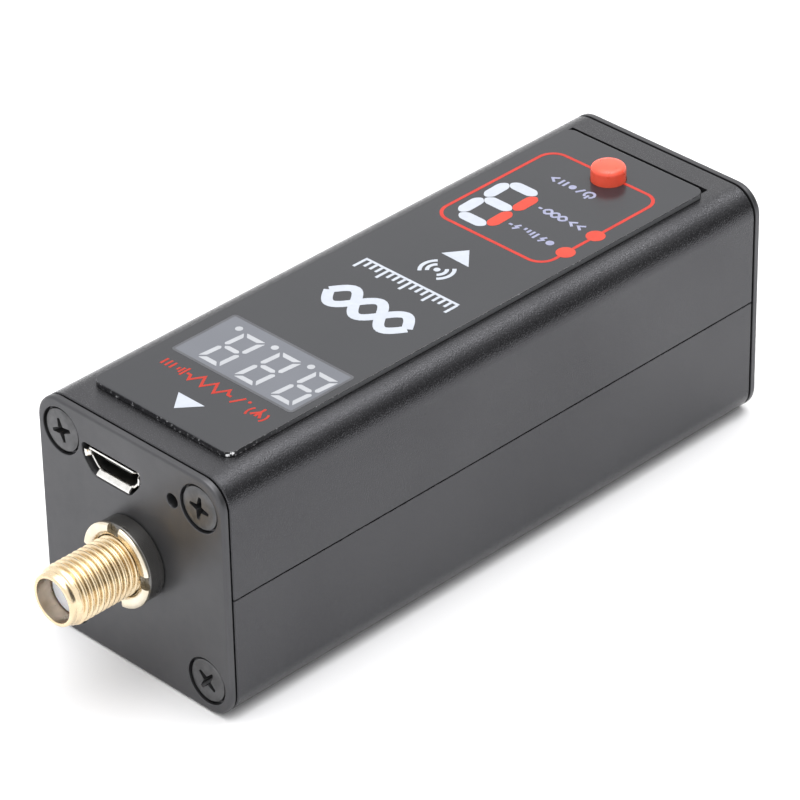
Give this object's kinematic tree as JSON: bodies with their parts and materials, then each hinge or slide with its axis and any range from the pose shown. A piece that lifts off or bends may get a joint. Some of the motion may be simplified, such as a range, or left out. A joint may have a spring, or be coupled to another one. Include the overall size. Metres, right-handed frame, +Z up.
{
  "type": "swr meter",
  "caption": "Pocket in-line SWR and power meter: black box with a coaxial jack at each end, glossy display panel and red power button on top.",
  "frame": {"origin": "under the middle of the box, on the plane it stands on", "axes": "+Z up through the display panel, +Y from the antenna jack towards the transmitter jack, +X to the right seen from the antenna end"},
  "size_m": [0.026, 0.0968, 0.0294],
  "materials": {
    "anodised": "black anodised over a fine blasted grain, satin",
    "black_steel": "black oxide, semi-gloss",
    "black_collar": "black nickel, satin",
    "gold": "gold plated, polished",
    "ptfe": "white, slightly translucent",
    "acrylic": "glossy black, back printed",
    "display_grey": "grey epoxy face with white segments",
    "red_plastic": "red, satin to glossy",
    "black_plastic": "moulded black",
    "white_plastic": "moulded white",
    "board": "green solder mask",
    "tin": "tin plated, bright",
    "foam": "dark foam",
    "foil": "silver pouch foil",
    "red_wire": "silicone sleeve",
    "black_wire": "silicone sleeve"
  },
  "bodies": {
    "case": {"upper_shell": "anodised", "lower_shell": "anodised", "antenna_end_plate": "anodised", "transmitter_end_plate": "anodised", "antenna_plate_screw_1": "black_steel", "antenna_plate_screw_2": "black_steel", "antenna_plate_screw_3": "black_steel", "antenna_plate_screw_4": "black_steel", "transmitter_plate_screw_1": "black_steel", "transmitter_plate_screw_2": "black_steel", "transmitter_plate_screw_3": "black_steel", "transmitter_plate_screw_4": "black_steel", "antenna_jack_collar": "black_collar", "transmitter_jack_collar": "black_collar", "antenna_jack_body": "gold", "antenna_jack_nut": "gold", "antenna_jack_contact": "gold", "transmitter_jack_body": "gold", "transmitter_jack_nut": "gold", "transmitter_jack_contact": "gold", "antenna_jack_insulator": "ptfe", "transmitter_jack_insulator": "ptfe", "top_overlay": "acrylic", "three_digit_display": "display_grey", "single_digit_display": "display_grey", "watt_indicator_led": "red_plastic", "swr_indicator_led": "red_plastic", "charge_indicator_led": "red_plastic", "power_switch_base": "black_plastic", "usb_tongue": "black_plastic", "board_header": "black_plastic", "battery_plug": "white_plastic", "battery_socket": "white_plastic", "display_board": "board", "rf_board": "board", "usb_shell": "tin", "rf_shield": "tin", "battery_pad": "foam", "battery_cell": "foil", "battery_lead_positive": "red_wire", "battery_lead_negative": "black_wire"},
    "button": {"power_button": "red_plastic", "power_switch_plunger": "white_plastic"}
  },
  "joints": [
    {"name": "power_button_press", "type": "slide", "parent": "case", "child": "button", "axis": [0, 0, -1], "range_m": [0, 0.0003], "stiffness_N_per_m": 3000}
  ]
}
